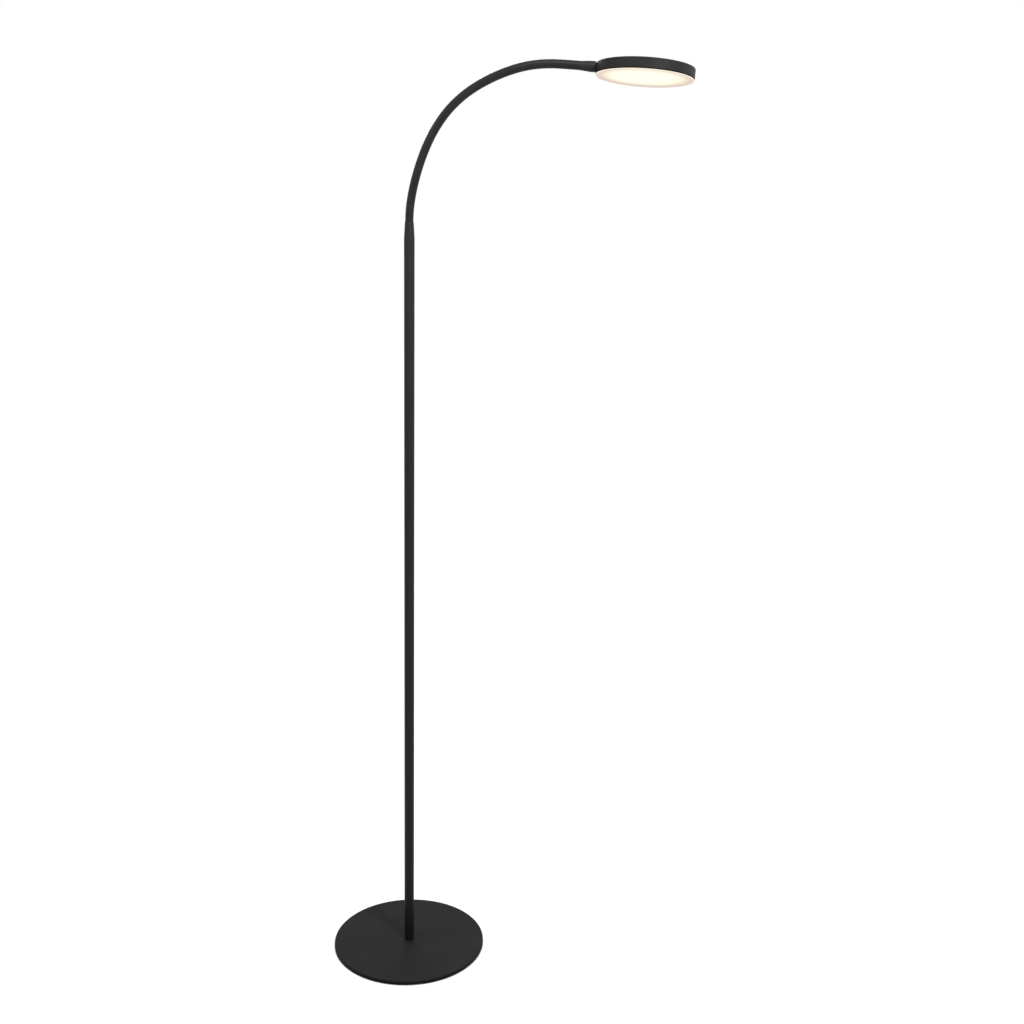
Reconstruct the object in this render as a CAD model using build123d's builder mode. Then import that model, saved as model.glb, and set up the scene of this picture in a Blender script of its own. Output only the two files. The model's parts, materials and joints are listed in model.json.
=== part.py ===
from build123d import *
from math import cos, radians, sin, sqrt, tan
import os

# Gooseneck reading floor lamp. Millimetres, +Z up. The origin is on the floor, on the pole's axis.
# The gooseneck leans towards +X in the plane Y = 0 and carries a flat round head.

# Fits
PIECE_FIT = 0.05          # radial clearance between pieces that don't move on each other
RUNNING_GAP = 0.3         # clearance between pieces that move past each other
SWIVEL_FIT = 0.05         # radial clearance of the swivel stud in its bore

# Base plate and the foam pad that it stands on
base_diameter = 250.0
base_thickness = 6.0
base_edge_radius = 1.2
pad_thickness = 1.0
pad_inset = 4.0           # from the plate's rim to the pad's edge

# Cord way under the plate, which runs from the pole to the rim
cord_azimuth = -35.0
lead_diameter = 3.5
groove_width = 6.0
groove_depth = 4.6
bush_length = 14.0
bush_bore_diameter = 3.6
connector_length = 16.0
connector_width = 9.0
connector_height = 3.4
connector_start = 26.0
lead_bend_radius = 5.2
base_lead_hole_diameter = 4.4

# Screws that hold the pole on the plate
base_screw_count = 3
base_screw_diameter = 3.0
base_screw_head_diameter = 5.4
base_screw_head_height = 1.8
base_screw_length = 14.0
base_screw_ring_radius = 4.6
screw_recess_diameter = 18.0
screw_recess_depth = 3.0

# Pole, in sections that plug together
pole_diameter = 16.0
pole_wall = 1.2
section_length = 381.1
section_count = 3
coupler_length = 50.0
coupler_wall = 1.6
foot_plug_length = 20.0
top_plug_length = 20.0
top_plug_spigot_length = 15.0
top_plug_spigot_diameter = 12.0
plug_bore_diameter = 4.4

# Lower ferrule, between the pole and the gooseneck
lower_ferrule_length = 38.6
lower_ferrule_straight = 14.0
lower_ferrule_top_diameter = 13.3
ferrule_screw_diameter = 3.0
ferrule_screw_height = 7.5

# Gooseneck: a chain of short straight links, which turn on each other about spherical seams
neck_diameter = 12.6
neck_skin_wall = 1.5
neck_bore_diameter = 6.0
link_length = 32.0
first_link_length = 16.0
last_link_length = 15.0
seam_radius = 8.0
winding_pitch = 4.0
winding_groove_depth = 0.5
core_flare_diameter = 8.4
core_flare_depth = 5.0
# The bend at each joint as the lamp stands, in degrees, from the pole to the head
rest_bends = [9.1, 6.1, 5.2, 6.8, 9.4, 11.2, 10.4, 7.4, 7.4, 10.3, 9.1, 1.0]

# Upper ferrule and the swivel inside it
upper_ferrule_length = 22.4
upper_ferrule_taper = 16.0
upper_ferrule_start_diameter = 13.1
upper_ferrule_diameter = 15.6
upper_ferrule_edge_radius = 1.0
upper_ferrule_end_wall = 4.0
core_seat_length = 12.0
stud_diameter = 6.0
stud_bore_diameter = 3.8
stud_flange_diameter = 9.2
stud_flange_thickness = 1.8
swivel_washer_thickness = 0.6
stud_nut_width = 9.0
stud_nut_thickness = 3.0

# Head: a shallow round housing, open below
head_roll = 2.2              # turn of the head about the ferrule's axis as the lamp stands, in degrees
head_diameter = 144.4
head_height = 15.7
swivel_height = 9.7          # from the rim's lower edge to the ferrule's axis
head_wall = 1.8
head_top_thickness = 1.4
head_edge_radius = 1.4
boss_diameter = 11.0
boss_length = 13.0
diffuser_thickness = 1.6
diffuser_drop = 1.0          # how far the diffuser stands below the rim
diffuser_dish = 1.3          # depth of its dished middle
diffuser_margin = 12.8       # sloped ring round the middle
diffuser_inset = 0.3
diffuser_edge_radius = 0.7
diffuser_skirt_height = 1.8
diffuser_skirt_wall = 1.8
thermal_pad_margin = 8.0     # from the pad's edge to the board's
thermal_pad_thickness = 0.8
board_thickness = 1.6
board_screw_count = 3
board_screw_inset = 14.0     # from a screw's axis to the board's edge
board_screw_diameter = 3.0
board_screw_head_diameter = 5.4
board_screw_head_height = 1.6
board_screw_grip = 0.9
chip_size = 3.0
chip_thickness = 0.8
chip_ring_count = 3
chip_ring_spacing = 15.0
chip_spacing = 13.0
chip_ring_inset = 8.0        # from the outer ring of chips to the board's edge
chip_free_angle = 50.0       # stretch of each ring left free for the lead's terminal, in degrees
terminal_length = 8.0
terminal_width = 8.0
terminal_start = 12.0        # from the stud's end to the terminal
reflector_width = 12.4       # from the board's edge to the housing's wall
reflector_wall = 1.0
reflector_inner_drop = 2.0
service_notch_width = 14.0

# Heights along the pole
plate_bottom = pad_thickness
plate_top = plate_bottom + base_thickness
pole_top = plate_top + section_count * section_length
neck_start = pole_top + lower_ferrule_length

# Radii of the gooseneck's two layers
skin_radius = neck_diameter / 2
core_radius = skin_radius - neck_skin_wall
core_bore_radius = neck_bore_diameter / 2
socket_radius = seam_radius + RUNNING_GAP
tube_inner_radius = pole_diameter / 2 - pole_wall
lead_radius = lead_diameter / 2

# The joints' places: each link's direction is the sum of the bends below it
joint_points = [Vector(0, 0, neck_start + first_link_length)]
link_angles = [0.0]
for bend in rest_bends:
    link_angles.append(link_angles[-1] + bend)
for angle in link_angles[1:-1]:
    step = Vector(sin(radians(angle)), 0, cos(radians(angle))) * link_length
    joint_points.append(joint_points[-1] + step)
last_link = len(rest_bends)

# The head's own directions: along the arm, and up through the disc
arm_angle = radians(link_angles[-1])
arm_direction = Vector(sin(arm_angle), 0, cos(arm_angle))
disc_up = Vector(-cos(arm_angle), 0, sin(arm_angle)) * cos(radians(head_roll))
disc_up = disc_up + Vector(0, 1, 0) * sin(radians(head_roll))
neck_end = joint_points[-1] + arm_direction * last_link_length
disc_distance = upper_ferrule_length + RUNNING_GAP + head_diameter / 2
disc_origin = neck_end + arm_direction * disc_distance - disc_up * swivel_height
head_plane = Plane(origin=disc_origin, x_dir=arm_direction, z_dir=disc_up)
head_section = Plane(origin=disc_origin, x_dir=arm_direction, z_dir=-head_plane.y_dir)
head_axis = Axis(head_plane.origin, head_plane.z_dir)
# Along the arm from the gooseneck's end, for the swivel: its sections are drawn across disc_up
swivel_plane = Plane(origin=neck_end, x_dir=disc_up, z_dir=arm_direction)
groove_direction = (cos(radians(cord_azimuth)), sin(radians(cord_azimuth)), 0)


def cord_plane(height):
    """A level plane whose X runs along the cord way, from the pole's axis to the rim."""
    return Plane(origin=(0, 0, height), x_dir=groove_direction, z_dir=(0, 0, 1))


def save(builder, name):
    builder.part.label = name
    export_step(builder.part, f"parts/{name}.step")


os.makedirs("parts", exist_ok=True)

# ---------------------------------------------------------------- base

lead_height = plate_bottom + groove_depth / 2
screw_head_top = plate_bottom + screw_recess_depth
connector_pocket_length = connector_length + 2 * PIECE_FIT

with BuildPart() as base_plate:
    with BuildSketch(Plane.XY.offset(plate_bottom)):
        Circle(base_diameter / 2)
    extrude(amount=base_thickness)
    rim_edges = base_plate.edges().filter_by(GeomType.CIRCLE).group_by(Axis.Z)
    fillet(rim_edges[-1], base_edge_radius)
    chamfer(base_plate.edges().filter_by(GeomType.CIRCLE).group_by(Axis.Z)[0], base_edge_radius / 2)
    with BuildSketch(cord_plane(plate_bottom)):
        Rectangle(base_diameter, groove_width, align=(Align.MIN, Align.CENTER))
    extrude(amount=groove_depth, mode=Mode.SUBTRACT)
    with BuildSketch(cord_plane(plate_bottom)):
        with Locations((connector_start - PIECE_FIT, 0)):
            Rectangle(connector_pocket_length, connector_width + 2 * PIECE_FIT,
                      align=(Align.MIN, Align.CENTER))
    extrude(amount=groove_depth, mode=Mode.SUBTRACT)
    with BuildSketch(Plane.XY.offset(plate_bottom)):
        Circle(screw_recess_diameter / 2)
    extrude(amount=screw_recess_depth, mode=Mode.SUBTRACT)
    with BuildSketch(cord_plane(plate_bottom)):
        Circle(base_lead_hole_diameter / 2)
        Rectangle(lead_bend_radius, base_lead_hole_diameter, align=(Align.MIN, Align.CENTER))
    extrude(amount=base_thickness, mode=Mode.SUBTRACT)
    with BuildSketch(cord_plane(plate_bottom)):
        with PolarLocations(base_screw_ring_radius, base_screw_count, start_angle=90,
                            angular_range=180, endpoint=True):
            Circle(base_screw_diameter / 2 + PIECE_FIT)
    extrude(amount=base_thickness, mode=Mode.SUBTRACT)
save(base_plate, "base_plate")

with BuildPart() as base_pad:
    with BuildSketch():
        Circle(base_diameter / 2 - pad_inset)
    extrude(amount=pad_thickness)
save(base_pad, "base_pad")

with BuildPart() as base_screws:
    with BuildSketch(cord_plane(screw_head_top)):
        with PolarLocations(base_screw_ring_radius, base_screw_count, start_angle=90,
                            angular_range=180, endpoint=True):
            Circle(base_screw_head_diameter / 2)
    extrude(amount=-base_screw_head_height)
    with BuildSketch(cord_plane(screw_head_top)):
        with PolarLocations(base_screw_ring_radius, base_screw_count, start_angle=90,
                            angular_range=180, endpoint=True):
            Circle(base_screw_diameter / 2)
    extrude(amount=base_screw_length)
save(base_screws, "base_screws")

with BuildPart() as foot_plug:
    with BuildSketch(Plane.XY.offset(plate_top)):
        Circle(tube_inner_radius - PIECE_FIT)
        Circle(plug_bore_diameter / 2, mode=Mode.SUBTRACT)
    extrude(amount=foot_plug_length)
    with BuildSketch(cord_plane(plate_top)):
        with PolarLocations(base_screw_ring_radius, base_screw_count, start_angle=90,
                            angular_range=180, endpoint=True):
            Circle(base_screw_diameter / 2 + PIECE_FIT)
    extrude(amount=base_screw_length, mode=Mode.SUBTRACT)
save(foot_plug, "foot_plug")

with BuildPart() as cord_bush:
    with BuildSketch(cord_plane(plate_bottom)):
        with Locations((base_diameter / 2 - base_edge_radius, 0)):
            Rectangle(bush_length, groove_width - 2 * PIECE_FIT, align=(Align.MAX, Align.CENTER))
    extrude(amount=groove_depth)
    bush_end = Plane(origin=cord_plane(lead_height).from_local_coords((base_diameter / 2, 0, 0)),
                     z_dir=groove_direction)
    with BuildSketch(bush_end):
        Circle(bush_bore_diameter / 2)
    extrude(amount=-(bush_length + base_edge_radius), mode=Mode.SUBTRACT)
save(cord_bush, "cord_bush")

with BuildPart() as lead_connector:
    with BuildSketch(cord_plane(plate_bottom + groove_depth)):
        with Locations((connector_start, 0)):
            Rectangle(connector_length, connector_width, align=(Align.MIN, Align.CENTER))
    extrude(amount=-connector_height)
    fillet(lead_connector.edges().filter_by(Axis.Z), connector_width / 8)
save(lead_connector, "lead_connector")

# ---------------------------------------------------------------- pole

for section, name in enumerate(["pole_tube_lower", "pole_tube_middle", "pole_tube_upper"]):
    with BuildPart() as pole_tube:
        with BuildSketch(Plane.XY.offset(plate_top + section * section_length)):
            Circle(pole_diameter / 2)
            Circle(tube_inner_radius, mode=Mode.SUBTRACT)
        extrude(amount=section_length)
    save(pole_tube, name)

coupler_radius = tube_inner_radius - PIECE_FIT
for seam, name in enumerate(["coupler_lower", "coupler_upper"], start=1):
    with BuildPart() as coupler:
        with BuildSketch(Plane.XY.offset(plate_top + seam * section_length - coupler_length / 2)):
            Circle(coupler_radius)
            Circle(coupler_radius - coupler_wall, mode=Mode.SUBTRACT)
        extrude(amount=coupler_length)
        chamfer(coupler.edges().filter_by(GeomType.CIRCLE), coupler_wall / 4)
    save(coupler, name)

with BuildPart() as top_plug:
    with BuildSketch(Plane.XY.offset(pole_top)):
        Circle(tube_inner_radius - PIECE_FIT)
    extrude(amount=-top_plug_length)
    with BuildSketch(Plane.XY.offset(pole_top)):
        Circle(top_plug_spigot_diameter / 2)
    extrude(amount=top_plug_spigot_length)
    with BuildSketch(Plane.XY.offset(pole_top - top_plug_length)):
        Circle(plug_bore_diameter / 2)
    extrude(amount=top_plug_length + top_plug_spigot_length, mode=Mode.SUBTRACT)
save(top_plug, "top_plug")

# The straight stretch takes the plug's spigot, and the core of the gooseneck turns in the taper
spigot_bore_radius = top_plug_spigot_diameter / 2 + PIECE_FIT
core_hole_radius = core_radius + RUNNING_GAP
ferrule_shoulder = pole_top + top_plug_spigot_length
ferrule_top_radius = lower_ferrule_top_diameter / 2
taper_start = pole_top + lower_ferrule_straight

with BuildPart() as lower_ferrule:
    with BuildSketch(Plane.XZ):
        with BuildLine():
            Polyline((pole_diameter / 2, pole_top), (pole_diameter / 2, taper_start),
                     (ferrule_top_radius, neck_start), (core_hole_radius, neck_start),
                     (core_hole_radius, ferrule_shoulder), (spigot_bore_radius, ferrule_shoulder),
                     (spigot_bore_radius, pole_top), (pole_diameter / 2, pole_top))
        make_face()
    revolve(axis=Axis.Z)
    screw_plane = Plane(origin=(0, 0, pole_top + ferrule_screw_height), z_dir=(0, 1, 0))
    with BuildSketch(screw_plane):
        Circle(ferrule_screw_diameter / 2 + PIECE_FIT)
    extrude(amount=pole_diameter, mode=Mode.SUBTRACT)
save(lower_ferrule, "lower_ferrule")

with BuildPart() as ferrule_screw:
    with BuildSketch(screw_plane.offset(top_plug_spigot_diameter / 2)):
        Circle(ferrule_screw_diameter / 2)
        RegularPolygon(ferrule_screw_diameter / 4, 6, mode=Mode.SUBTRACT)
    extrude(amount=(pole_diameter - top_plug_spigot_diameter) / 2 - PIECE_FIT)
save(ferrule_screw, "ferrule_screw")

# ---------------------------------------------------------------- gooseneck


def link_plane(index):
    """The section plane of a link: X across it, Y along it, with its lower joint at the origin."""
    angle = radians(link_angles[index])
    along = Vector(sin(angle), 0, cos(angle))
    across = Vector(cos(angle), 0, -sin(angle))
    origin = joint_points[index - 1] if index > 0 else joint_points[0] - along * first_link_length
    return Plane(origin=origin, x_dir=across, z_dir=(0, -1, 0)), Axis(origin, along)


def end_line(inner, outer, height, sphere_radius):
    """A wall's end in section: level, or on the lower half of a sphere centred at this height."""
    if sphere_radius == 0:
        return Line((inner, height), (outer, height))
    across = [inner, (inner + outer) / 2, outer]
    return ThreePointArc([(x, height - sqrt(sphere_radius ** 2 - x ** 2)) for x in across])


def link_ends(index, skin):
    """Height and sphere of a link's two ends, from its lower joint or the gooseneck's start."""
    lower = (0, seam_radius)
    upper = (link_length, socket_radius)
    if index == 0:
        bottom = RUNNING_GAP if skin else ferrule_shoulder + RUNNING_GAP - neck_start
        lower = (bottom, 0)
        upper = (first_link_length, socket_radius)
    if index == last_link:
        upper = (last_link_length if skin else last_link_length + core_seat_length, 0)
    return lower, upper


for index in range(last_link + 1):
    section_plane, link_axis = link_plane(index)

    with BuildPart() as neck_skin:
        (low, low_sphere), (high, high_sphere) = link_ends(index, skin=True)
        with BuildSketch(section_plane):
            with BuildLine():
                bottom = end_line(core_radius + PIECE_FIT, skin_radius, low, low_sphere)
                top = end_line(core_radius + PIECE_FIT, skin_radius, high, high_sphere)
                Line(bottom @ 0, top @ 0)
                Line(bottom @ 1, top @ 1)
            make_face()
        revolve(axis=link_axis)
    save(neck_skin, f"neck_skin_{index:02d}")

    with BuildPart() as neck_core:
        (low, low_sphere), (high, high_sphere) = link_ends(index, skin=False)
        flare = core_flare_diameter / 2 if low_sphere else core_bore_radius
        with BuildSketch(section_plane):
            with BuildLine():
                bottom = end_line(flare, core_radius, low, low_sphere)
                top = end_line(core_bore_radius, core_radius, high, high_sphere)
                outer_low = (bottom @ 1).Y
                outer_high = (top @ 1).Y
                ring_count = round((outer_high - outer_low) / winding_pitch)
                pitch = (outer_high - outer_low) / ring_count
                outline = [(core_radius, outer_low)]
                for ring in range(1, ring_count):
                    seam_height = outer_low + ring * pitch
                    outline.append((core_radius, seam_height - winding_groove_depth))
                    outline.append((core_radius - winding_groove_depth, seam_height))
                    outline.append((core_radius, seam_height + winding_groove_depth))
                Polyline(outline + [(core_radius, outer_high)])
                if low_sphere:
                    flare_end = ((bottom @ 0).Y + core_flare_depth)
                    Polyline((flare, (bottom @ 0).Y), (core_bore_radius, flare_end),
                             (core_bore_radius, (top @ 0).Y))
                else:
                    Line(bottom @ 0, top @ 0)
            make_face()
        revolve(axis=link_axis)
    save(neck_core, f"neck_core_{index:02d}")

# ---------------------------------------------------------------- upper ferrule and swivel

# Distances along the arm from the gooseneck's end
end_wall_start = upper_ferrule_length - upper_ferrule_end_wall
washer_start = end_wall_start - swivel_washer_thickness
flange_start = washer_start - stud_flange_thickness
rim_distance = upper_ferrule_length + RUNNING_GAP
boss_end = rim_distance + head_wall + boss_length
stud_end = boss_end + stud_nut_thickness
seat_radius = core_radius + PIECE_FIT
stud_radius = stud_diameter / 2
swivel_radius = stud_radius + SWIVEL_FIT
swivel_section = Plane(origin=neck_end, x_dir=(cos(arm_angle), 0, -sin(arm_angle)), z_dir=(0, -1, 0))
swivel_axis = Axis(neck_end, arm_direction)

with BuildPart() as upper_ferrule:
    with BuildSketch(swivel_section):
        with BuildLine():
            full = upper_ferrule_diameter / 2
            corner = upper_ferrule_length - upper_ferrule_edge_radius
            Line((upper_ferrule_start_diameter / 2, 0), (full, upper_ferrule_taper))
            Line((full, upper_ferrule_taper), (full, corner))
            RadiusArc((full, corner), (full - upper_ferrule_edge_radius, upper_ferrule_length),
                      -upper_ferrule_edge_radius)
            Polyline((full - upper_ferrule_edge_radius, upper_ferrule_length),
                     (swivel_radius, upper_ferrule_length), (swivel_radius, end_wall_start),
                     (seat_radius, end_wall_start), (seat_radius, 0),
                     (upper_ferrule_start_diameter / 2, 0))
        make_face()
    revolve(axis=swivel_axis)
save(upper_ferrule, "upper_ferrule")

with BuildPart() as swivel_stud:
    with BuildSketch(swivel_plane.offset(flange_start)):
        Circle(stud_flange_diameter / 2)
    extrude(amount=stud_flange_thickness)
    with BuildSketch(swivel_plane.offset(flange_start)):
        Circle(stud_radius)
    extrude(amount=stud_end - flange_start)
    with BuildSketch(swivel_plane.offset(flange_start)):
        Circle(stud_bore_diameter / 2)
    extrude(amount=stud_end - flange_start, mode=Mode.SUBTRACT)
save(swivel_stud, "swivel_stud")

with BuildPart() as swivel_washer:
    with BuildSketch(swivel_plane.offset(washer_start)):
        Circle(stud_flange_diameter / 2)
        Circle(swivel_radius, mode=Mode.SUBTRACT)
    extrude(amount=swivel_washer_thickness)
save(swivel_washer, "swivel_washer")

with BuildPart() as stud_nut:
    with BuildSketch(swivel_plane.offset(boss_end)):
        RegularPolygon(stud_nut_width / 2, 6, major_radius=False, rotation=30)
        Circle(stud_radius + PIECE_FIT, mode=Mode.SUBTRACT)
    extrude(amount=stud_nut_thickness)
save(stud_nut, "stud_nut")

# ---------------------------------------------------------------- head

# Heights in the head's own frame, from the rim's lower edge
cavity_radius = head_diameter / 2 - head_wall
board_radius = cavity_radius - reflector_width
board_screw_ring_radius = board_radius - board_screw_inset
chip_ring_radius = board_radius - chip_ring_inset
chip_stretch = 360 - chip_free_angle
ceiling = head_height - head_top_thickness
board_top = ceiling - thermal_pad_thickness
board_bottom = board_top - board_thickness
# The notch leaves room for the boss and the nut at the neck's side of the head
notch_end = head_diameter / 2 - head_wall - boss_length - stud_nut_thickness - 2 * PIECE_FIT
notch_length = head_diameter / 2 - notch_end

with BuildPart() as head_housing:
    with BuildSketch(head_plane):
        Circle(head_diameter / 2)
    extrude(amount=head_height)
    outer_rings = head_housing.edges().filter_by(GeomType.CIRCLE).sort_by_distance(head_plane.origin)
    fillet(outer_rings[-1], head_edge_radius)
    with BuildSketch(head_plane):
        Circle(cavity_radius)
    extrude(amount=ceiling, mode=Mode.SUBTRACT)
    with BuildSketch(swivel_plane.offset(rim_distance + head_wall / 2)):
        Circle(boss_diameter / 2)
    extrude(amount=boss_length + head_wall / 2)
    with BuildSketch(swivel_plane.offset(upper_ferrule_length)):
        Circle(stud_radius + PIECE_FIT)
    extrude(amount=boss_length + head_wall + 2 * RUNNING_GAP, mode=Mode.SUBTRACT)
    with BuildSketch(head_plane.offset(ceiling)):
        with PolarLocations(board_screw_ring_radius, board_screw_count):
            Circle(board_screw_diameter / 2 + PIECE_FIT)
    extrude(amount=board_screw_grip, mode=Mode.SUBTRACT)
save(head_housing, "head_housing")

with BuildPart() as thermal_pad:
    with BuildSketch(head_plane.offset(board_top)):
        Circle(board_radius - thermal_pad_margin)
        with PolarLocations(board_screw_ring_radius, board_screw_count):
            Circle(board_screw_diameter / 2 + PIECE_FIT, mode=Mode.SUBTRACT)
    extrude(amount=thermal_pad_thickness)
save(thermal_pad, "thermal_pad")

with BuildPart() as led_board:
    with BuildSketch(head_plane.offset(board_bottom)):
        Circle(board_radius)
        with PolarLocations(board_screw_ring_radius, board_screw_count):
            Circle(board_screw_diameter / 2 + PIECE_FIT, mode=Mode.SUBTRACT)
        with Locations((-notch_end, 0)):
            Rectangle(notch_length, service_notch_width, align=(Align.MAX, Align.CENTER),
                      mode=Mode.SUBTRACT)
    extrude(amount=board_thickness)
save(led_board, "led_board")

with BuildPart() as board_screws:
    with BuildSketch(head_plane.offset(board_bottom)):
        with PolarLocations(board_screw_ring_radius, board_screw_count):
            Circle(board_screw_head_diameter / 2)
    extrude(amount=-board_screw_head_height)
    with BuildSketch(head_plane.offset(board_bottom)):
        with PolarLocations(board_screw_ring_radius, board_screw_count):
            Circle(board_screw_diameter / 2)
    extrude(amount=ceiling + board_screw_grip - board_bottom)
save(board_screws, "board_screws")

with BuildPart() as led_chips:
    with BuildSketch(head_plane.offset(board_bottom)):
        for ring in range(chip_ring_count):
            ring_radius = chip_ring_radius - ring * chip_ring_spacing
            chip_count = 1 + round(radians(chip_stretch) * ring_radius / chip_spacing)
            with PolarLocations(ring_radius, chip_count, start_angle=chip_free_angle / 2 - 180,
                                angular_range=chip_stretch, endpoint=True):
                Rectangle(chip_size, chip_size)
    extrude(amount=-chip_thickness)
save(led_chips, "led_chips")

# A sloped white ring from the board's edge out to the diffuser
reflector_inner = board_radius + PIECE_FIT
reflector_outer = cavity_radius - PIECE_FIT
reflector_low = diffuser_skirt_height + PIECE_FIT
reflector_high = board_bottom - reflector_inner_drop

with BuildPart() as reflector:
    with BuildSketch(head_section):
        with BuildLine():
            Polyline((reflector_inner, reflector_high), (reflector_inner, reflector_high + reflector_wall),
                     (reflector_outer, reflector_low + reflector_wall),
                     (reflector_outer, reflector_low), (reflector_inner, reflector_high))
        make_face()
    revolve(axis=head_axis)
    with BuildSketch(head_plane):
        with Locations((-notch_end, 0)):
            Rectangle(notch_length, service_notch_width, align=(Align.MAX, Align.CENTER))
    extrude(amount=head_height, mode=Mode.SUBTRACT)
save(reflector, "reflector")

# The diffuser's lower face slopes up from its edge to a flat middle, and its skirt fits the housing
diffuser_radius = head_diameter / 2 - diffuser_inset
skirt_radius = cavity_radius - PIECE_FIT
skirt_inner = skirt_radius - diffuser_skirt_wall
dish_radius = diffuser_radius - diffuser_margin
dish_height = diffuser_dish - diffuser_drop
skirt_foot = diffuser_thickness - diffuser_drop

with BuildPart() as diffuser:
    with BuildSketch(head_section):
        with BuildLine():
            Polyline((0, dish_height), (dish_radius, dish_height), (diffuser_radius, -diffuser_drop),
                     (diffuser_radius, 0), (skirt_radius, 0), (skirt_radius, diffuser_skirt_height),
                     (skirt_inner, diffuser_skirt_height), (skirt_inner, skirt_foot),
                     (dish_radius, dish_height + diffuser_thickness),
                     (0, dish_height + diffuser_thickness), (0, dish_height))
        make_face()
    revolve(axis=head_axis)
    lens_edges = diffuser.edges().filter_by(GeomType.CIRCLE).sort_by_distance(head_plane.origin)
    fillet(lens_edges[-1], diffuser_edge_radius)
save(diffuser, "diffuser")

terminal_distance = stud_end + terminal_start
terminal_x = terminal_distance - disc_distance

with BuildPart() as lead_terminal:
    with BuildSketch(head_plane.offset(board_bottom)):
        with Locations((terminal_x, 0)):
            Rectangle(terminal_length, terminal_width, align=(Align.MIN, Align.CENTER))
    extrude(amount=-(board_bottom - swivel_height + lead_diameter))
save(lead_terminal, "lead_terminal")

# ---------------------------------------------------------------- leads

lead_joint_height = neck_start + first_link_length - link_length
lead_end_distance = flange_start - RUNNING_GAP

with BuildPart() as pole_lead:
    lead_section = Plane(origin=(0, 0, 0), x_dir=groove_direction,
                         z_dir=Vector(groove_direction).cross(Vector(0, 0, 1)))
    with BuildLine(lead_section) as pole_route:
        FilletPolyline((connector_start, lead_height), (0, lead_height), (0, lead_joint_height),
                       radius=lead_bend_radius)
    with BuildSketch(Plane(origin=pole_route.line @ 0, z_dir=pole_route.line % 0)):
        Circle(lead_radius)
    sweep()
save(pole_lead, "pole_lead")

neck_points = [Vector(0, 0, lead_joint_height)] + joint_points
neck_points.append(neck_end + arm_direction * lead_end_distance)
neck_runs = [(b - a).length for a, b in zip(neck_points[:-1], neck_points[1:])]
bend_radii = []
for bend, before, after in zip(rest_bends, neck_runs[:-1], neck_runs[1:]):
    bend_radii.append(0.45 * min(before, after) / tan(radians(abs(bend)) / 2))

with BuildPart() as neck_lead:
    with BuildLine() as neck_route:
        FilletPolyline(neck_points, radius=bend_radii)
    with BuildSketch(Plane(origin=neck_route.line @ 0, z_dir=neck_route.line % 0)):
        Circle(lead_radius)
    sweep()
save(neck_lead, "neck_lead")

with BuildPart() as head_lead:
    with BuildSketch(swivel_plane.offset(flange_start)):
        Circle(lead_radius)
    extrude(amount=terminal_distance - flange_start)
save(head_lead, "head_lead")
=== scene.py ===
"""Gooseneck reading floor lamp: materials, soft gooseneck, lights and camera round the frame."""
import json
import math

import bmesh
import bpy
from mathutils import Matrix, Vector


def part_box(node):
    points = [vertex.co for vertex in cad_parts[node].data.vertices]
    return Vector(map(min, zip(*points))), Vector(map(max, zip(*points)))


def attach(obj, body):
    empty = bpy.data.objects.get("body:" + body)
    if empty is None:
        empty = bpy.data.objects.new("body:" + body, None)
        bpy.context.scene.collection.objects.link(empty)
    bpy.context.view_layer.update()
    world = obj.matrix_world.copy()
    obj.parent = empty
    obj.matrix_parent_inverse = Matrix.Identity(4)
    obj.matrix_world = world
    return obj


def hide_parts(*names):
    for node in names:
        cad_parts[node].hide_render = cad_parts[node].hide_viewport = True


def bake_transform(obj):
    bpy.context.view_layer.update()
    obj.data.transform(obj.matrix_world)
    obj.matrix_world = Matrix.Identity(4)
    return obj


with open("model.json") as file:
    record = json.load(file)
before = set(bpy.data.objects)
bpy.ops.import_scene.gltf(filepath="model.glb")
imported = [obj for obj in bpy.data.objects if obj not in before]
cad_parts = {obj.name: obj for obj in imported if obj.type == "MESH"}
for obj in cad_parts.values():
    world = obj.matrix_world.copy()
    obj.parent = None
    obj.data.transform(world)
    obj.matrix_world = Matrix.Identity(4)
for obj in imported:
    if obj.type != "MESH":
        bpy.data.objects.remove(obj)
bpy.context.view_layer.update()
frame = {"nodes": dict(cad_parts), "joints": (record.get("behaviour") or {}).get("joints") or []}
scene = bpy.context.scene

# ---------------------------------------------------------------- camera

CAMERA_PLACE = Vector((0.160889, -1.847723, 1.152222))
CAMERA_DROP = math.radians(12.282)      # below the horizon
CAMERA_ROLL = math.radians(1.066)
FOCAL_PIXELS = 1207.379
IMAGE_PIXELS = 1024
SENSOR = 36.0
NEAREST, FARTHEST = 0.05, 60            # what the camera can see, in metres


def make_camera():
    forward = Vector((0, math.cos(CAMERA_DROP), -math.sin(CAMERA_DROP)))
    level = Vector((1, 0, 0))
    upward = level.cross(forward)
    right = level * math.cos(CAMERA_ROLL) + upward * math.sin(CAMERA_ROLL)
    up = upward * math.cos(CAMERA_ROLL) - level * math.sin(CAMERA_ROLL)
    data = bpy.data.cameras.new("camera")
    data.sensor_width = SENSOR
    data.lens = SENSOR * FOCAL_PIXELS / IMAGE_PIXELS
    data.clip_start = NEAREST
    data.clip_end = FARTHEST
    camera = bpy.data.objects.new("camera", data)
    turn = Matrix((right, up, -forward)).transposed()
    camera.matrix_world = Matrix.Translation(CAMERA_PLACE) @ turn.to_4x4()
    scene.collection.objects.link(camera)
    scene.camera = camera


make_camera()

# ---------------------------------------------------------------- places on the lamp

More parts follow.
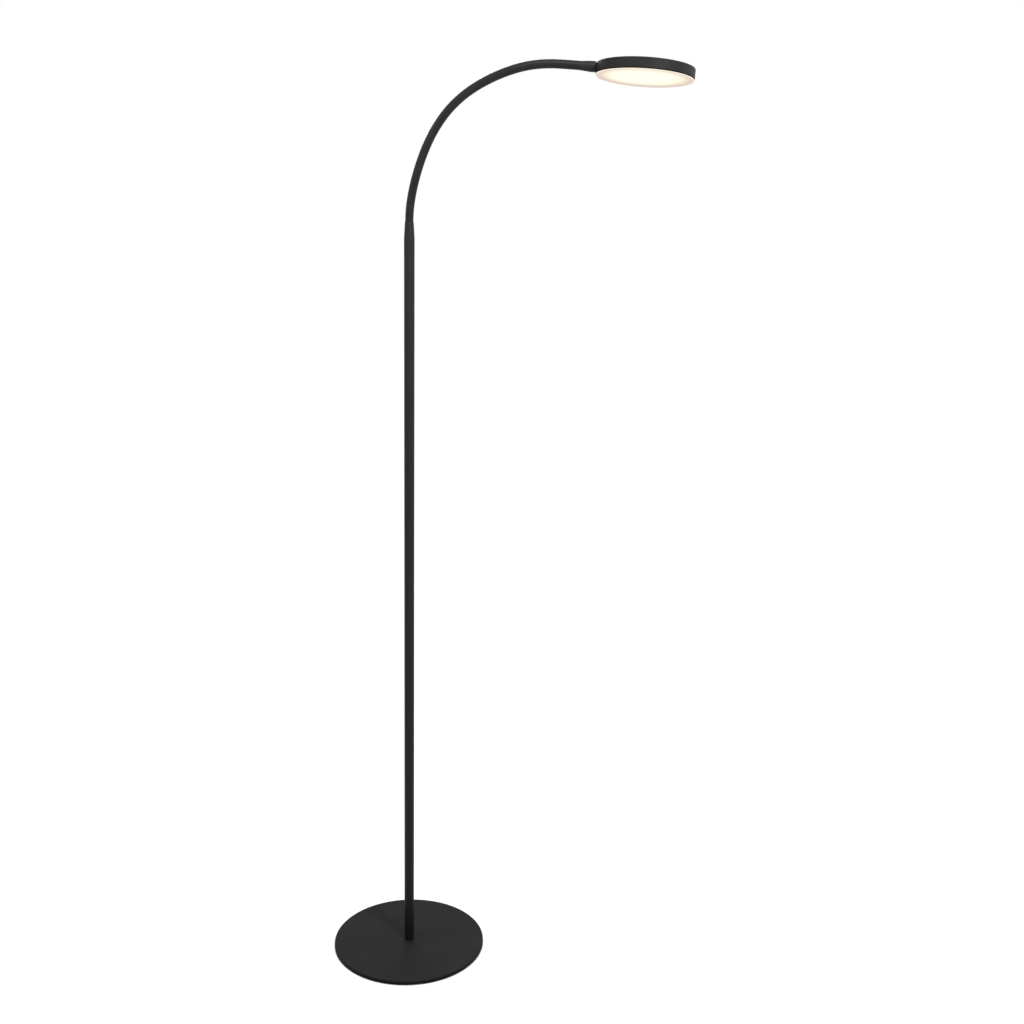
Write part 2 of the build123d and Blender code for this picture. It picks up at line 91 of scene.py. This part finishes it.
JOINT = {j["name"]: Vector(j["pos_m"]) for j in frame["joints"]}
BENDS = [JOINT[f"neck_bend_{k:02d}"] for k in range(1, 13)]
SWIVEL = JOINT["head_swivel"]
NECK_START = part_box("neck_skin_00")[0][2]
BASE_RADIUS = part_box("base_plate")[1][0]
PLATE_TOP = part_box("base_plate")[1][2]
HEAD_CENTRE = Vector(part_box("diffuser")[0]).lerp(Vector(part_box("diffuser")[1]), 0.5)

UP = Vector((0, 0, 1))
LAST_LINK = 0.015                       # from the last bend to the sleeve's end
RIM_START = 0.0227                      # from the sleeve's end to the rim, along the arm
RIM_DROP = 0.0097                       # from the arm's line down to the rim's lower edge
HEAD_RADIUS = 0.0722
LENS_RADIUS = 0.0719
HEAD_ROLL = math.radians(2.2)

end_line = (SWIVEL - BENDS[-1]).normalized()
head_up = Matrix.Rotation(-HEAD_ROLL, 3, end_line) @ Vector((0, 1, 0)).cross(-end_line)

# ---------------------------------------------------------------- material tools

PATTERN_LOW = 0.3                       # a noise pattern's usual low and high values
PATTERN_HIGH = 0.7


class Shader:
    """A Principled material and short ways to add nodes to it."""

    def __init__(self, name):
        self.material = bpy.data.materials.new(name)
        self.material.use_nodes = True
        self.nodes = self.material.node_tree.nodes
        self.links = self.material.node_tree.links
        self.shader = self.nodes["Principled BSDF"]
        self.shader.distribution = "GGX"
        self.place = self.add("ShaderNodeTexCoord").outputs["Object"]

    def add(self, kind, **values):
        node = self.nodes.new(kind)
        for key, value in values.items():
            setattr(node, key, value)
        return node

    def set(self, **values):
        for key, value in values.items():
            self.shader.inputs[key.replace("_", " ")].default_value = value

    def link(self, source, target):
        self.links.new(source, target)

    def feed(self, source, socket):
        self.link(source, self.shader.inputs[socket])

    def fill(self, node, values):
        """Sets a node's inputs in turn, each to a constant or to another node's output."""
        for socket, value in zip(node.inputs, values):
            if isinstance(value, (int, float, tuple, Vector)):
                socket.default_value = value
            else:
                self.link(value, socket)

    def math(self, operation, *values):
        node = self.add("ShaderNodeMath", operation=operation)
        self.fill(node, values)
        return node.outputs[0]

    def vector_math(self, operation, *values):
        node = self.add("ShaderNodeVectorMath", operation=operation)
        self.fill(node, values)
        return node.outputs["Value" if operation in ("DOT_PRODUCT", "LENGTH") else "Vector"]

    def noise(self, scale, detail=2.0, roughness=0.5, place=None):
        node = self.add("ShaderNodeTexNoise")
        node.inputs["Scale"].default_value = scale
        node.inputs["Detail"].default_value = detail
        node.inputs["Roughness"].default_value = roughness
        self.link(place or self.place, node.inputs["Vector"])
        return node.outputs["Fac"]

    def stretched(self, scale):
        node = self.add("ShaderNodeMapping")
        node.inputs["Scale"].default_value = scale
        self.link(self.place, node.inputs["Vector"])
        return node.outputs["Vector"]

    def spread(self, source, low, high, start=0.0, end=1.0):
        """low where the source is start, high where it is end."""
        node = self.add("ShaderNodeMapRange")
        node.inputs["From Min"].default_value = start
        node.inputs["From Max"].default_value = end
        node.inputs["To Min"].default_value = low
        node.inputs["To Max"].default_value = high
        self.link(source, node.inputs["Value"])
        return node.outputs["Result"]

    def ramp(self, source, stops):
        node = self.add("ShaderNodeValToRGB")
        elements = node.color_ramp.elements
        elements.remove(elements[1])
        elements[0].position = stops[0][0]
        elements[0].color = (*stops[0][1], 1)
        for position, colour in stops[1:]:
            elements.new(position).color = (*colour, 1)
        self.link(source, node.inputs["Fac"])
        return node.outputs["Color"]

    def mix(self, share, colour, other):
        """colour where share is 0, the other input where it is 1."""
        node = self.add("ShaderNodeMix", data_type="RGBA")
        self.link(share, node.inputs["Factor"])
        sockets = [socket for socket in node.inputs if socket.type == "RGBA"]
        sockets[0].default_value = (*colour, 1)
        self.link(other, sockets[1])
        return [socket for socket in node.outputs if socket.type == "RGBA"][0]

    def bump(self, height, distance):
        node = self.add("ShaderNodeBump")
        node.inputs["Distance"].default_value = distance
        self.link(height, node.inputs["Height"])
        return node.outputs["Normal"]

    def radius(self, centre, axis):
        """Distance from the line through centre along axis."""
        arm = self.vector_math("SUBTRACT", self.place, centre)
        return self.vector_math("LENGTH", self.vector_math("CROSS_PRODUCT", arm, axis))

    def tones(self, pattern, low, high):
        """The pattern's tone between two colours."""
        return self.ramp(pattern, [(PATTERN_LOW, low), (PATTERN_HIGH, high)])

    def wear(self, pattern, low, high):
        """Roughness that follows the pattern."""
        self.feed(self.spread(pattern, low, high, PATTERN_LOW, PATTERN_HIGH), "Roughness")

    def grain(self, pattern, depth):
        """A surface that follows the pattern, to a depth in metres."""
        self.feed(self.bump(pattern, depth), "Normal")


def tint(colour, factor):
    return tuple(channel * factor for channel in colour)


def coated(name, colour, rough, specular, peel_depth, shade_by_height=None):
    """Powder coat: fine orange peel, a cloudy tone and faint rub marks.

    The last argument is painted shade that darkens it downwards: the lower height, the upper height
    and the tone at the lower one.
    """
    s = Shader(name)
    cloud = s.noise(14.0, 4.0, 0.6)
    speck = s.noise(2600.0, 1.0)
    mixed = s.math("MULTIPLY_ADD", speck, 0.35, s.math("MULTIPLY", cloud, 0.65))
    tone = s.tones(mixed, tint(colour, 0.78), tint(colour, 1.25))
    # Painted shade: the coat turns darker toward the lower height.
    if shade_by_height:
        low, high, dark = shade_by_height
        height = s.vector_math("DOT_PRODUCT", s.place, UP)
        tone = s.mix(s.spread(height, 0.0, 1.0, low, high), dark, tone)
    s.feed(tone, "Base Color")
    s.wear(s.noise(55.0, 5.0, 0.65), rough - 0.05, rough + 0.06)
    s.grain(s.noise(900.0, 3.0, 0.6), peel_depth)
    s.set(Specular_IOR_Level=specular)
    return s.material


def sleeve(name, colour, rough):
    """Heat-shrunk sleeve: satin, with a slightly uneven tone."""
    s = Shader(name)
    s.feed(s.tones(s.noise(30.0, 3.0), tint(colour, 0.85), tint(colour, 1.2)), "Base Color")
    s.wear(s.noise(120.0, 4.0), rough - 0.05, rough + 0.06)
    s.grain(s.noise(1500.0, 2.0), 0.00001)
    s.set(Specular_IOR_Level=0.14)
    return s.material


def metal(name, colour, rough, brush=(60, 60, 1400)):
    """Plated or turned metal with fine machining lines and a dull patina."""
    s = Shader(name)
    s.feed(s.tones(s.noise(180.0, 4.0, 0.6), tint(colour, 0.82), colour), "Base Color")
    s.wear(s.noise(300.0, 3.0), rough - 0.08, rough + 0.1)
    s.grain(s.noise(1.0, 3.0, 0.6, s.stretched(brush)), 0.00002)
    s.set(Metallic=1.0)
    return s.material


def moulded(name, colour, rough, grain=1200.0, depth=0.00002, shade=0.12, specular=None):
    """Moulded plastic, rubber or foam: fine texture and a slight change of tone."""
    s = Shader(name)
    high = tint(colour, 1 + shade) if max(colour) < 0.8 else colour
    s.feed(s.tones(s.noise(70.0, 4.0), tint(colour, 1 - shade), high), "Base Color")
    s.wear(s.noise(260.0, 3.0), rough - 0.06, rough + 0.06)
    s.grain(s.noise(grain, 3.0), depth)
    if specular is not None:
        s.set(Specular_IOR_Level=specular)
    return s.material


def circuit_board(name):
    """White solder mask with faint copper runs under it."""
    s = Shader(name)
    cells = s.add("ShaderNodeTexVoronoi", feature="DISTANCE_TO_EDGE")
    cells.inputs["Scale"].default_value = 110.0
    s.link(s.place, cells.inputs["Vector"])
    run_width = 0.09
    edge = cells.outputs["Distance"]
    s.feed(s.ramp(edge, [(0.0, (0.62, 0.60, 0.50)), (run_width, (0.80, 0.80, 0.77))]), "Base Color")
    s.wear(s.noise(400.0, 2.0), 0.3, 0.42)
    s.grain(s.spread(edge, 0.0, 1.0, 0.0, run_width), 0.00003)
    return s.material


def opal(name, centre, axis):
    """Opal diffuser lit from behind: creamy, with a dimmer warm ring and a bright edge."""
    s = Shader(name)
    share = s.math("DIVIDE", s.radius(centre, axis), LENS_RADIUS)
    glow = s.ramp(share, [
        (0.0, (0.87, 0.86, 0.78)),
        (0.55, (0.88, 0.87, 0.75)),
        (0.72, (0.88, 0.84, 0.66)),
        (0.82, (0.80, 0.68, 0.54)),
        (0.88, (0.70, 0.57, 0.47)),
        (0.96, (0.62, 0.51, 0.46)),
        (0.975, (0.62, 0.51, 0.46)),
        (0.99, (0.94, 0.86, 0.68)),
    ])
    s.feed(glow, "Emission Color")
    s.set(Emission_Strength=1.0)
    s.feed(s.tones(s.noise(40.0, 3.0), (0.13, 0.12, 0.11), (0.15, 0.14, 0.13)), "Base Color")
    s.wear(s.noise(220.0, 3.0), 0.32, 0.40)
    s.grain(s.noise(1800.0, 2.0), 0.00001)
    s.set(Specular_IOR_Level=0.02)
    return s.material


def phosphor(name):
    """Yellow phosphor dome of a lit chip."""
    s = Shader(name)
    s.feed(s.tones(s.noise(900.0, 2.0), (0.85, 0.62, 0.12), (0.95, 0.78, 0.25)), "Base Color")
    s.feed(s.spread(s.noise(500.0, 2.0), 0.3, 0.45), "Roughness")
    s.grain(s.noise(3000.0, 1.0), 0.00001)
    s.set(Emission_Color=(1.0, 0.86, 0.6, 1), Emission_Strength=0.6)
    return s.material


# ---------------------------------------------------------------- materials

# Painted shade: the pole's coat is darker toward its foot.
POLE_SHADE = (0.0, 1.15, (0.0106, 0.0103, 0.0103))       # less light reaches the pole's foot
# Painted shade: the base plate's side, below its top edge, is darker.
PLATE_SIDE_SHADE = (PLATE_TOP - 0.0022, PLATE_TOP - 0.0008, (0.008, 0.008, 0.008))

POWDER = coated("powder_coat", (0.0258, 0.0254, 0.0254), 0.36, 0.10, 0.00001, POLE_SHADE)
# The base's coat is darker than the pole's as painted shade, against the extra light on its
# upward-facing top.
POWDER_BASE = coated("powder_coat_base", (0.0195, 0.019, 0.0188), 0.60, 0.04, 0.00002, PLATE_SIDE_SHADE)
POWDER_HEAD = coated("powder_coat_head", (0.025, 0.0247, 0.0247), 0.48, 0.085, 0.00002)
# A dark brown ring at the rim's lower edge is painted shade, tinted warm like the lens's light.
RIM_PAINTED_SHADE = moulded("rim_painted_shade", (0.014, 0.0045, 0.002), 0.9, shade=0.2, specular=0.0)
SLEEVE = sleeve("neck_sleeve", (0.0175, 0.0175, 0.0178), 0.32)
ZINC = metal("zinc_plate", (0.62, 0.62, 0.60), 0.36)
WOUND = metal("wound_steel", (0.34, 0.34, 0.35), 0.42)
BRASS = metal("brass_washer", (0.72, 0.53, 0.22), 0.34)
RUBBER = moulded("black_rubber", (0.022, 0.022, 0.022), 0.62)
FOAM = moulded("foam_pad", (0.035, 0.035, 0.036), 0.85, 2200.0, 0.00015)
JACKET = moulded("lead_jacket", (0.03, 0.03, 0.032), 0.5)
NYLON = moulded("white_nylon", (0.72, 0.71, 0.66), 0.42)
THERMAL = moulded("thermal_pad", (0.42, 0.46, 0.52), 0.7, 700.0, 0.00004)
REFLECTOR = moulded("white_reflector", (0.84, 0.83, 0.79), 0.38)
BOARD = circuit_board("circuit_board")
CHIPS = phosphor("led_phosphor")
OPAL = opal("opal_diffuser", HEAD_CENTRE, head_up)

FINISH = {
    "base_plate": POWDER_BASE,
    "base_pad": FOAM,
    "base_screws": ZINC,
    "foot_plug": ZINC,
    "cord_bush": RUBBER,
    "lead_connector": NYLON,
    "pole_tube_lower": POWDER,
    "pole_tube_middle": POWDER,
    "pole_tube_upper": POWDER,
    "coupler_lower": ZINC,
    "coupler_upper": ZINC,
    "top_plug": ZINC,
    "lower_ferrule": POWDER,
    "ferrule_screw": ZINC,
    "pole_lead": JACKET,
    "upper_ferrule": POWDER,
    "swivel_stud": ZINC,
    "swivel_washer": BRASS,
    "stud_nut": ZINC,
    "head_housing": POWDER_HEAD,
    "thermal_pad": THERMAL,
    "led_board": BOARD,
    "led_chips": CHIPS,
    "board_screws": ZINC,
    "reflector": REFLECTOR,
    "diffuser": OPAL,
    "lead_terminal": NYLON,
    "head_lead": JACKET,
}

for node, finish in FINISH.items():
    for holder in frame["nodes"][node].material_slots:
        holder.material = finish

# ---------------------------------------------------------------- gooseneck

SLEEVE_FOOT = 0.00618                   # the shrunk sleeve is a little fuller toward the head
SLEEVE_HEAD = 0.00650
SLEEVE_BORE = 0.0048
SLEEVE_START = NECK_START - 0.00025     # a little way into the lower ferrule
CORE_RADIUS = 0.00475
CORE_BORE = 0.0030
CORE_GROOVE = 0.0005
CORE_PITCH = 0.004
CORE_SIDES = 32
LEAD_RADIUS = 0.00175
LEAD_SIDES = 16
RINGS = 24
CORE_RINGS = RINGS * 3
SIDES = 48
TUBE_CREASE = math.radians(50)          # edges sharper than this stay sharp
RING_CREASE = math.radians(40)
BENT_FROM_FAR_END = 3                   # the fourth piece takes its bodies and ends the other way round


def bend_path(start, corner, end, steps):
    """Points and directions on the arc that is tangent to both links."""
    points = []
    for i in range(steps + 1):
        t = i / steps
        point = start * (1 - t) ** 2 + corner * (2 * t * (1 - t)) + end * t ** 2
        along = (corner - start) * (1 - t) + (end - corner) * t
        points.append((point, along.normalized()))
    return points


def make_piece(name, mesh, material, crease):
    """Shades a closed mesh and puts it in the scene."""
    bmesh.ops.recalc_face_normals(mesh, faces=mesh.faces)
    for edge in mesh.edges:
        edge.smooth = edge.calc_face_angle(0) < crease
    data = bpy.data.meshes.new(name)
    mesh.to_mesh(data)
    mesh.free()
    data.materials.append(material)
    piece = bpy.data.objects.new(name, data)
    scene.collection.objects.link(piece)
    return piece


def tube(name, path, outer, inner, material, sides=SIDES):
    """A closed tube along a path. A radius is a number, or a function of length and angle."""
    mesh = bmesh.new()
    side = Vector((0, 1, 0))
    walls = []
    for wall in ([outer, inner] if inner else [outer]):
        rings = []
        length = 0.0
        last = path[0][0]
        for point, along in path:
            length += (point - last).length
            last = point
            across = side.cross(along)
            turn = []
            for k in range(sides):
                angle = 2 * math.pi * k / sides
                radius = wall(length, angle) if callable(wall) else wall
                out = side * math.cos(angle) + across * math.sin(angle)
                turn.append(mesh.verts.new(point + out * radius))
            rings.append(turn)
        walls.append(rings)
    for rings in walls:
        for low, high in zip(rings, rings[1:]):
            for k in range(sides):
                n = (k + 1) % sides
                mesh.faces.new((low[k], low[n], high[n], high[k])).smooth = True
    for end in (0, -1):
        if not inner:
            mesh.faces.new(walls[0][end])
            continue
        for k in range(sides):
            n = (k + 1) % sides
            outside, inside = walls[0][end], walls[1][end]
            mesh.faces.new((outside[k], inside[k], inside[n], outside[n]))
    return make_piece(name, mesh, material, TUBE_CREASE)


def core_surface(offset):
    """The wound core's outside: round wire turns side by side."""
    def radius(length, angle):
        turn = ((offset + length) / CORE_PITCH + angle / (2 * math.pi)) % 1.0
        return CORE_RADIUS - CORE_GROOVE * (1 - math.sin(math.pi * turn) ** 0.6)
    return radius


def sleeve_surface(offset, total):
    """The sleeve's outside, from its foot to the head."""
    def radius(length, angle):
        return SLEEVE_FOOT + (SLEEVE_HEAD - SLEEVE_FOOT) * (offset + length) / total
    return radius


def make_neck():
    """One piece of sleeve, core and lead round each bend, from mid-link to mid-link."""
    last = BENDS[-1] + end_line * LAST_LINK
    middles = [(a + b) / 2 for a, b in zip(BENDS, BENDS[1:])]
    ends = [UP * SLEEVE_START] + middles + [last]
    total = sum((b - a).length for a, b in zip(ends, ends[1:]))
    run = 0.0
    for k, corner in enumerate(BENDS):
        start, end = ends[k:k + 2]
        bodies = (f"neck_{k:02d}", f"neck_{k + 1:02d}")
        number = f"{k + 1:02d}"
        path = bend_path(start, corner, end, RINGS)
        skin = tube(f"sleeve_{number}", path, sleeve_surface(run, total), SLEEVE_BORE, SLEEVE)
        fine = bend_path(start, corner, end, CORE_RINGS)
        core = tube(f"core_{number}", fine, core_surface(run), CORE_BORE, WOUND, CORE_SIDES)
        lead = tube(f"lead_{number}", path, LEAD_RADIUS, None, JACKET, LEAD_SIDES)
        run += sum((b[0] - a[0]).length for a, b in zip(fine, fine[1:]))
        if k == BENT_FROM_FAR_END:
            bodies = bodies[::-1]
            start, end = end, start
        for piece in (skin, core, lead):
            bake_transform(piece)
        own = [k + 1] if k else [0, 1]
        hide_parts(*[f"neck_skin_{i:02d}" for i in own])
        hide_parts(*[f"neck_core_{i:02d}" for i in own])
        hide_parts("neck_lead")


make_neck()

# ---------------------------------------------------------------- swivel seal, and painted shade round the rim

RING_SIDES = 192
SEAL_BORE = 0.0033


def make_seal():
    """A thin rubber seal between the upper ferrule's rounded end and the head's rim."""
    profile = [                         # distance from the swivel, radius
        (0.0219, 0.00745), (0.0221, 0.00745), (0.0223, 0.0074), (0.0225, 0.0073),
        (0.02262, 0.0071),
    ]
    start = profile[0][0]
    path = [(SWIVEL + end_line * distance, end_line) for distance, radius in profile]

    def outside(length, angle):
        return min(profile, key=lambda step: abs(step[0] - start - length))[1]

    thin_ring = tube("swivel_seal", path, outside, SEAL_BORE, RUBBER)
    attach(thin_ring, "neck_12")


make_seal()


def ring(name, centre, axis, profile, material):
    """A closed ring: a profile of radius and height, turned about the axis."""
    mesh = bmesh.new()
    first = axis.orthogonal().normalized()
    second = axis.cross(first)
    turns = []
    for k in range(RING_SIDES):
        angle = 2 * math.pi * k / RING_SIDES
        out = first * math.cos(angle) + second * math.sin(angle)
        turns.append([mesh.verts.new(centre + out * r + axis * height) for r, height in profile])
    for turn, after in zip(turns, turns[1:] + turns[:1]):
        for i in range(len(profile)):
            n = (i + 1) % len(profile)
            mesh.faces.new((turn[i], turn[n], after[n], after[i])).smooth = True
    return make_piece(name, mesh, material, RING_CREASE)


def make_rim_painted_shade():
    """A thin dark ring of painted shade round the rim's lower edge, where the lens closes the head,
    tinted warm like the lens's light.
    """
    rim_centre = SWIVEL - head_up * RIM_DROP + end_line * (RIM_START + HEAD_RADIUS)
    inside = HEAD_RADIUS - 0.0003
    outside = HEAD_RADIUS + 0.00006
    profile = [
        (inside, 0.00008), (outside - 0.0002, 0.0), (outside, 0.0002), (outside, 0.0015),
        (inside, 0.0017),
    ]
    thin_ring = ring("rim_painted_shade", rim_centre, head_up, profile, RIM_PAINTED_SHADE)
    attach(thin_ring, "head")


make_rim_painted_shade()

# ---------------------------------------------------------------- floor, light and background

WORLD_LIGHT = 0.28
FLOOR_HALF = 12
FLOOR_TONE = (0.5, 0.5, 0.5, 1)
FLOOR_GLOW = (0.70, 0.90, 0.6, 3.2)     # near and far strength, near and far distance
LAMPS = {                               # place, target, size in metres, power in watts
    "key": ((1.25, -1.55, 2.3), (0.05, 0, 0.8), (0.4, 1.2), 38),
    "top": ((0.35, -1.5, 2.8), (0.1, 0, 0.9), (1.0, 0.6), 14),
    "fill": ((-1.5, -1.3, 2.1), (0.05, 0, 0.8), (0.35, 1.2), 8),
    "rear": ((-0.5, 2.2, 2.3), (0.1, 0, 0.8), (1.6, 1.2), 26),
}


def white_where_seen(nodes, links):
    """1 for camera, glossy and transmission rays, else 0."""
    path = nodes.new("ShaderNodeLightPath")
    seen = path.outputs["Is Camera Ray"]
    for ray in ("Is Glossy Ray", "Is Transmission Ray"):
        larger = nodes.new("ShaderNodeMath")
        larger.operation = "MAXIMUM"
        links.new(seen, larger.inputs[0])
        links.new(path.outputs[ray], larger.inputs[1])
        seen = larger.outputs[0]
    return seen


def make_world():
    world = bpy.data.worlds.new("world")
    world.use_nodes = True
    nodes = world.node_tree.nodes
    links = world.node_tree.links
    back = nodes["Background"]
    strength = nodes.new("ShaderNodeMapRange")
    strength.inputs["To Min"].default_value = WORLD_LIGHT
    strength.inputs["To Max"].default_value = 1.0
    links.new(white_where_seen(nodes, links), strength.inputs["Value"])
    links.new(strength.outputs["Result"], back.inputs["Strength"])
    back.inputs["Color"].default_value = (1, 1, 1, 1)
    scene.world = world


def make_floor():
    """A pale floor that reads as white, with a faint shadow round and under the base."""
    mesh = bmesh.new()
    bmesh.ops.create_grid(mesh, x_segments=8, y_segments=8, size=FLOOR_HALF)
    data = bpy.data.meshes.new("floor")
    mesh.to_mesh(data)
    mesh.free()
    floor = bpy.data.objects.new("floor", data)
    scene.collection.objects.link(floor)
    s = Shader("floor")
    s.set(Base_Color=FLOOR_TONE, Roughness=0.9, Specular_IOR_Level=0.0)
    reach = s.vector_math("LENGTH", s.place)
    bare = s.spread(reach, 0.0, 1.0, BASE_RADIUS - 0.0005, BASE_RADIUS + 0.001)
    lit = s.math("MULTIPLY", s.spread(reach, *FLOOR_GLOW), bare)
    glow = s.add("ShaderNodeEmission")
    s.link(s.math("MULTIPLY", white_where_seen(s.nodes, s.links), lit), glow.inputs["Strength"])
    both = s.add("ShaderNodeAddShader")
    s.link(s.shader.outputs[0], both.inputs[0])
    s.link(glow.outputs[0], both.inputs[1])
    s.link(both.outputs[0], s.nodes["Material Output"].inputs["Surface"])
    data.materials.append(s.material)


def make_lamp(name, place, target, size, power):
    data = bpy.data.lights.new(name, "AREA")
    data.shape = "RECTANGLE"
    data.size, data.size_y = size
    data.energy = power
    lamp = bpy.data.objects.new(name, data)
    lamp.location = place
    aim = (Vector(target) - Vector(place)).normalized()
    lamp.rotation_euler = aim.to_track_quat("-Z", "Y").to_euler()
    lamp.visible_camera = False
    scene.collection.objects.link(lamp)


make_world()
make_floor()
for name, values in LAMPS.items():
    make_lamp(name, *values)

scene.view_settings.view_transform = "Standard"
